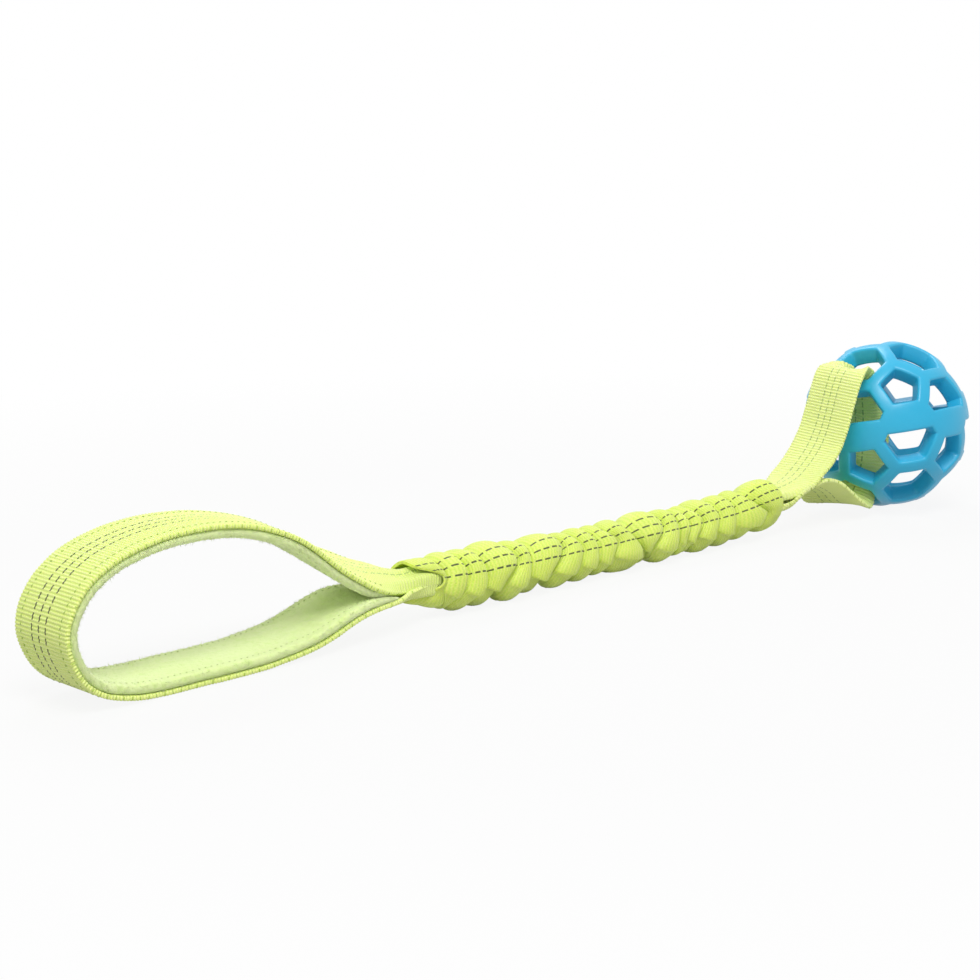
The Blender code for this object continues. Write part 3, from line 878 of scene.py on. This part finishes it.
def sheath_surface(steps, angles):
    """The gathered sheath's outer face at steps counted in folds, and at angles round it."""
    rows = np.array(crease_rows)
    places = round_tube(np.vstack([sheath_rim, rows[:, :4], sheath_end]), angles)
    far_side = ease(np.cos(angles - far_side_angle) * far_side_spread)
    places[1:-1] += fold_wander * far_side * uneven(len(rows), angles, fold_wander_seed)
    top, near, under = rows[:, 4:].T
    depths = round_tube(np.stack([top, (top + near) / 2, near, under], axis=-1), angles)
    depths = np.vstack([depths[:1], depths, depths[-1:]])
    count = len(places) - 1
    fold = np.clip(np.floor(steps).astype(int), 0, count - 1)
    share = steps - fold
    share = np.where(fold == 0, first_fold_start + (1 - first_fold_start) * share, share)
    share = np.where(fold == count - 1, last_fold_end * share, share)[:, None]
    first, last = (fold_slide(limit) for limit in (first_fold_start, last_fold_end))
    slide = fold_slide(share)
    slide = np.where(fold[:, None] == 0, (slide - first) / (1 - first), slide)
    slide = np.where(fold[:, None] == count - 1, slide / last, slide)
    x = places[fold] * (1 - slide) + places[fold + 1] * slide
    swell = np.abs(np.sin(math.pi * share)) ** fold_fullness
    length = (places[fold + 1] - places[fold]) - fold_usual_length
    size = np.clip(fold_size + fold_size_share * length, *fold_size_limits)
    size = size + fold_unevenness * uneven(count, angles, fold_unevenness_seed)[fold]
    depth = depths[fold] * (1 - ease(share)) + depths[fold + 1] * ease(share)
    height, radius = bungee_section(x)
    radius = radius + size * swell - depth * (1 - swell)
    pocket = pocket_depth * np.array(pocket_shares)[fold][:, None]
    radius = radius - pocket_shape(angles, share) * pocket
    lip = ease(np.cos(angles - lower_lip_angle) * lower_lip_spread)
    to_rim = np.clip(1 - steps, 0, 1)[:, None] ** lower_lip_fall
    radius = radius - lower_lip_rise * to_rim * lip
    points = np.stack([x, radius * np.cos(angles), height + radius * np.sin(angles)], axis=-1)
    points[..., 2] = np.maximum(points[..., 2], 0)
    return points


def pocket_shape(angles, share):
    """Where a fold's flap ends low on the near side, and the webbing under it is drawn in."""
    start, end = pocket_lean * (share - 0.5) + pocket_angles[0], pocket_angles[1]
    under = ease((angles - start) / pocket_edge) * ease((end - angles) / (end - start))
    return under * np.sin(math.pi * np.clip(share, 0, 1))


def fold_slide(share):
    """How far along a fold a share of its turn has come, slower where it leaves its creases."""
    return share - fold_overhang * np.sin(2 * math.pi * share)


def sheath_piece(name, first_fold, last_fold, webbing):
    """The sheath between two creases: its outer face, and its inner face where it is open."""
    count = len(crease_rows) + 1
    angles = np.linspace(0, 2 * math.pi, sheath_columns, endpoint=False)
    turns = np.linspace(0, math.pi, sheath_steps_per_fold, endpoint=False)
    shares = (1 - np.cos(turns)) / 2
    everything = np.concatenate([fold + shares for fold in range(count)] + [[count]])
    outer_all = sheath_surface(everything, angles)
    along_all = arc_lengths(outer_all).mean(axis=1, keepdims=True) + np.zeros((1, sheath_columns))
    picked = (everything >= first_fold) & (everything <= last_fold)
    outer, along = outer_all[picked], along_all[picked]
    inward = outer.mean(axis=1, keepdims=True) - outer
    inward[..., 0] = 0
    inward /= np.linalg.norm(inward, axis=-1, keepdims=True)
    inner = outer + inward * sheath_wall
    points = np.concatenate([outer, inner[::-1]])
    tube_along = np.concatenate([along, along[::-1]])
    across = (tracer_middle - np.linspace(0, 2 * math.pi, sheath_columns + 1)) * bungee_radius
    across = across + tracer_lines[1] + np.repeat([0, inner_face_shift], len(outer))[:, None]
    piece = tube_object(name, points, tube_along, across, webbing, sheath_sharp_angle, closed=True)
    return piece


def make_sheath(webbing):
    """Three lengths of the sheath, which meet in creases and follow the joints at its two ends."""
    last = len(crease_rows) + 1
    left = sheath_piece("sheath_handle_end", 0, handle_end_folds, webbing)
    middle = sheath_piece("sheath_middle", handle_end_folds, last - ball_end_folds, webbing)
    right = sheath_piece("sheath_ball_end", last - ball_end_folds, last, webbing)
    for piece, bodies, (start, end) in (
        (left, ("handle", "bungee"), left_bend),
        (middle, ("bungee", "bungee_end"), middle_stretch),
        (right, ("bungee_end", "strap"), right_bend),
    ):
        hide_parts("bungee_sheath")
        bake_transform(piece, *bodies, (start, 0, 0), (end, 0, 0))


def make_elastic(elastic):
    edges = (bungee_start_x, middle_stretch[0], middle_stretch[1], bungee_end_x)
    bends = (
        ("elastic_handle_end", "handle", "bungee", left_bend),
        ("elastic_middle", "bungee", "bungee_end", middle_stretch),
        ("elastic_ball_end", "bungee_end", "strap", right_bend),
    )
    for (start_x, end_x), (name, first, second, (start, end)) in zip(zip(edges, edges[1:]), bends):
        places = np.linspace(start_x, end_x, round((end_x - start_x) / elastic_step) + 1)
        rows = np.zeros((len(places), 6))
        rows[:, 0] = places
        rows[:, 1] = bungee_section(places)[0] + elastic_thickness / 2
        rows[:, 2] = elastic_width
        edge_round = elastic_thickness * elastic_edge_share
        band = strip_object(name, rows, 0, elastic_thickness, edge_round, elastic)
        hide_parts("elastic_core")
        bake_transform(band, first, second, (start, 0, 0), (end, 0, 0))


def make_tack(name, node, x, bodies, bend, thread):
    """A zigzag of thread under the elastic, where it is sewn to the webbing's ends."""
    turns = round(tack_width / tack_pitch)
    corners = np.array([
        (x + tack_length * (0.5 if i % 2 else -0.5), i * tack_width / turns - tack_width / 2)
        for i in range(turns + 1)
    ])
    at = np.linspace(0, turns, turns * tack_steps_per_turn + 1)
    path = rows_at(corners, np.arange(turns + 1), at)
    heights = bungee_section(path[:, 0])[0] - elastic_thickness / 2 - tack_gap - tack_thread / 2
    middle = np.column_stack([path, heights])
    ahead = np.gradient(middle, axis=0)
    ahead /= np.linalg.norm(ahead, axis=1)[:, None]
    side = np.cross(ahead, (0, 0, 1))
    side /= np.linalg.norm(side, axis=1)[:, None]
    lift = np.cross(side, ahead)
    turn = np.linspace(0, 2 * math.pi, stitch_sides, endpoint=False)[None, :, None]
    round_it = np.cos(turn) * side[:, None] + np.sin(turn) * lift[:, None]
    rings = middle[:, None] + tack_thread / 2 * round_it
    along = np.repeat(arc_lengths(middle)[:, None], stitch_sides, axis=1)
    across = np.linspace(0, math.pi * tack_thread, stitch_sides + 1)
    tack = tube_object(name, rings, along, across, thread)
    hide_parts(node)
    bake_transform(tack, *bodies, (bend[0], 0, 0), (bend[1], 0, 0))


def make_ball_strap(webbing):
    rows = strap_path()
    gather = puckers(rows, strap_puckers, rows[:, 0:1] < ball_x - strap_pucker_start * ball_radius)
    half = webbing_thickness / 2
    strap = strip_object(
        "ball_strap_webbing", rows, -half, half, webbing_edge_round, webbing, gather, woven=True
    )
    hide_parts("ball_strap")
    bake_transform(strap, "bungee_end", "strap", (right_bend[0], 0, 0), (right_bend[1], 0, 0))


def open_ball_surface():
    """The ball's outer face: a pentagon at each pole, a solid belt, and openings between ribs."""
    mesh = bmesh.new()
    drop = mesh.verts.layers.float.new("drop")
    bmesh.ops.create_icosphere(mesh, subdivisions=1, radius=ball_radius)
    bmesh.ops.bevel(
        mesh,
        geom=mesh.verts[:],
        offset=ball_cut_percent,
        offset_type="PERCENT",
        segments=1,
        affect="VERTICES",
    )
    bmesh.ops.remove_doubles(mesh, verts=mesh.verts, dist=ball_merge_distance)
    belt_half = (ball_belt_width - ball_rib_width) / 2
    for height in (-belt_half, belt_half):
        geom = mesh.verts[:] + mesh.edges[:] + mesh.faces[:]
        cut = {"plane_co": (0, 0, height), "plane_no": (0, 0, 1), "dist": ball_merge_distance}
        bmesh.ops.bisect_plane(mesh, geom=geom, **cut)
    holes = set(faces_to_open(mesh, belt_half))
    hole_edges = [edge for edge in mesh.edges if holes.intersection(edge.link_faces)]
    longest = max(edge.calc_length() for edge in hole_edges)
    bmesh.ops.subdivide_edges(mesh, edges=hole_edges, cuts=round(longest / ball_rim_step) - 1)
    holes = faces_to_open(mesh, belt_half)
    turns = np.linspace(0, math.pi / 2, ball_edge_rings + 1)
    steps = [ball_rib_width / 2 - ball_edge_round, *(np.diff(np.sin(turns)) * ball_edge_round)]
    drops = ball_edge_round * (1 - np.cos(turns))
    for step, depth in zip(steps, drops):
        bmesh.ops.inset_individual(mesh, faces=holes, thickness=step, use_even_offset=True)
        for _ in range(ball_corner_rounds):
            round_corners(holes)
        for vertex in {vertex for face in holes for vertex in face.verts}:
            vertex[drop] = depth
    bmesh.ops.delete(mesh, geom=holes, context="FACES_ONLY")
    split_large_faces(mesh)
    for _ in range(ball_mesh_rounds):
        long_edges = [edge for edge in mesh.edges if edge.calc_length() > ball_mesh_step]
        bmesh.ops.subdivide_edges(mesh, edges=long_edges, cuts=1)
        split_large_faces(mesh)
    depths = {vertex: vertex[drop] for vertex in mesh.verts}
    for vertex, depth in depths.items():
        vertex.co = vertex.co.normalized() * (ball_radius - depth)
    return mesh, depths


def faces_to_open(mesh, belt_half):
    """The faces outside the belt, without the slivers beside it that are too small to open."""
    return [
        face
        for face in mesh.faces
        if abs(face.calc_center_median().z) > belt_half and face.calc_area() > ball_least_hole
    ]


def split_large_faces(mesh):
    bmesh.ops.triangulate(mesh, faces=[face for face in mesh.faces if len(face.verts) > 4])


def round_corners(holes):
    """Moves the rim points of each opening halfway to the middle of their neighbours."""
    moved = {}
    for face in holes:
        corners = [loop.vert for loop in face.loops]
        for before, here, after in zip(corners[-1:] + corners, corners, corners[1:] + corners[:1]):
            moved[here] = here.co.lerp((before.co + after.co) / 2, 0.5)
    for vertex, place in moved.items():
        vertex.co = place


def fix_order(parts, middle):
    """Puts points or faces, which a bevel makes in another order each run, in order of place."""
    for i, part in enumerate(sorted(parts, key=lambda part: tuple(middle(part)))):
        part.index = i
    parts.sort()


def make_ball(rubber):
    mesh, depths = open_ball_surface()
    rim_edges = [edge for edge in mesh.edges if edge.is_boundary]
    copy = bmesh.ops.duplicate(mesh, geom=mesh.verts[:] + mesh.edges[:] + mesh.faces[:])
    inner_of = {old: new for old, new in copy["vert_map"].items() if old in depths}
    inner_faces = [item for item in copy["geom"] if isinstance(item, bmesh.types.BMFace)]
    for vertex, inner in inner_of.items():
        inner.co = vertex.co.normalized() * (ball_radius - ball_wall + depths[vertex])
    bmesh.ops.reverse_faces(mesh, faces=inner_faces)
    for edge in rim_edges:
        first, second = edge.verts
        mesh.faces.new((first, second, inner_of[second], inner_of[first]))
    mesh.verts.layers.float.remove(mesh.verts.layers.float["drop"])
    turn = Matrix.Rotation(ball_tilt, 4, "X") @ Matrix.Rotation(ball_spin, 4, "Z")
    mesh.transform(Matrix.Translation((ball_x, 0, ball_radius)) @ turn)
    fix_order(mesh.verts, lambda vertex: vertex.co)
    fix_order(mesh.faces, bmesh.types.BMFace.calc_center_median)
    data = bpy.data.meshes.new("rubber_ball")
    mesh.to_mesh(data)
    mesh.free()
    ball = mesh_object("rubber_ball", data, rubber, all_smooth_angle)
    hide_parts("ball")
    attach(ball, "ball")


def make_camera():
    level, rise = math.cos(camera_elevation), math.sin(camera_elevation)
    sine, cosine = math.sin(camera_azimuth), math.cos(camera_azimuth)
    back = Vector((sine * level, -cosine * level, rise))
    right = Vector((cosine, sine, 0))
    up = back.cross(right)
    data = bpy.data.cameras.new("photo_camera")
    data.lens = camera_lens
    data.sensor_width = camera_sensor
    camera = bpy.data.objects.new("photo_camera", data)
    across, above, ahead = camera_from_ball
    camera.location = Vector((ball_x, 0, ball_radius)) - right * across - up * above + back * ahead
    camera.rotation_euler = (-back).to_track_quat("-Z", "Y").to_euler()
    bpy.context.scene.collection.objects.link(camera)
    bpy.context.scene.camera = camera


def add_softbox(name, place, size, power):
    data = bpy.data.lights.new(name, "AREA")
    data.shape = "DISK"
    data.size = size
    data.energy = power
    lamp = bpy.data.objects.new(name, data)
    lamp.location = place
    lamp.rotation_euler = (-Vector(place)).to_track_quat("-Z", "Y").to_euler()
    bpy.context.scene.collection.objects.link(lamp)


def seen_or_lighting(sums, lighting):
    """A strength: 1 where it is seen, also in gloss and through glass, and another for its light."""
    rays = sums.node("ShaderNodeLightPath").outputs
    seen = sums.math("MAXIMUM", rays["Is Camera Ray"], rays["Is Glossy Ray"])
    seen = sums.math("MAXIMUM", seen, rays["Is Transmission Ray"])
    return sums.range(seen, 0, 1, lighting, 1)


def paper_finish():
    """White paper that keeps its shadows near the toy and fades to plain white further out."""
    finish = Finish("white_paper", Base_Color=floor_colour, Roughness=1)
    inputs = {0: finish.position()}
    distance = finish.node("ShaderNodeVectorMath", inputs, operation="LENGTH").outputs["Value"]
    fade = finish.range(distance, *floor_fade, floor_least_glow)
    share = finish.math("MULTIPLY", fade, seen_or_lighting(finish, 0))
    glow = finish.node("ShaderNodeEmission", {"Strength": 1}).outputs["Emission"]
    shades = {0: share, 1: finish.shader.outputs["BSDF"], 2: glow}
    blend = finish.node("ShaderNodeMixShader", shades)
    finish.feed(finish.tree.nodes["Material Output"].inputs["Surface"], blend.outputs["Shader"])
    return finish.material


def make_studio():
    world = bpy.data.worlds.new("studio")
    world.use_nodes = True
    bpy.context.scene.world = world
    background = world.node_tree.nodes["Background"]
    background.inputs["Color"].default_value = (1, 1, 1, 1)
    sums = Sums(world.node_tree)
    sums.feed(background.inputs["Strength"], seen_or_lighting(sums, sky_lighting))

    mesh = bpy.data.meshes.new("floor")
    square = ((-1, -1), (1, -1), (1, 1), (-1, 1))
    corners = [(x * floor_half_width, y * floor_half_width, -floor_drop) for x, y in square]
    mesh.from_pydata(corners, [], [(0, 1, 2, 3)])
    mesh.materials.append(paper_finish())
    floor = bpy.data.objects.new("floor", mesh)
    bpy.context.scene.collection.objects.link(floor)

    add_softbox("key_light", *key_light)
    add_softbox("back_light", *back_light)
    bpy.context.scene.view_settings.view_transform = "Standard"


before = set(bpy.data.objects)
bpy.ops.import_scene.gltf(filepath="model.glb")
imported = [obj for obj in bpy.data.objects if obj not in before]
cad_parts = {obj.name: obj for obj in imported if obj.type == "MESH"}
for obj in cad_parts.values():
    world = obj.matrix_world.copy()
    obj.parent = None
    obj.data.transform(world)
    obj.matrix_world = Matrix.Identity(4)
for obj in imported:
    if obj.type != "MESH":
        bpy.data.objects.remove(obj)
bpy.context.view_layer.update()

fleece = fleece_finish()
loop_webbing = webbing_finish("loop_webbing", loop_colours, tracer_highlight_colour)
sheath_webbing = webbing_finish("sheath_webbing", sheath_colours, glow=0.5, selvedge=False)
strap_webbing = webbing_finish("strap_webbing", strap_colours)
thread = thread_finish("yellow_green_thread", thread_colour)
fleece_thread = thread_finish("lining_thread", lining_thread_colour)
elastic = elastic_finish()
rubber = rubber_finish()

make_camera()
make_studio()
make_loop(loop_webbing, fleece, thread, fleece_thread)
make_sheath(sheath_webbing)
make_elastic(elastic)
make_ball_strap(strap_webbing)
for name, node, x, bodies, bend in (
    ("handle_end_stitches", "handle_end_tack", loop_tack_x, ("handle", "bungee"), left_bend),
    ("strap_end_stitches", "ball_strap_end_tack", strap_tack_x, ("bungee_end", "strap"), right_bend),
):
    make_tack(name, node, x, bodies, bend, thread)
make_ball(rubber)
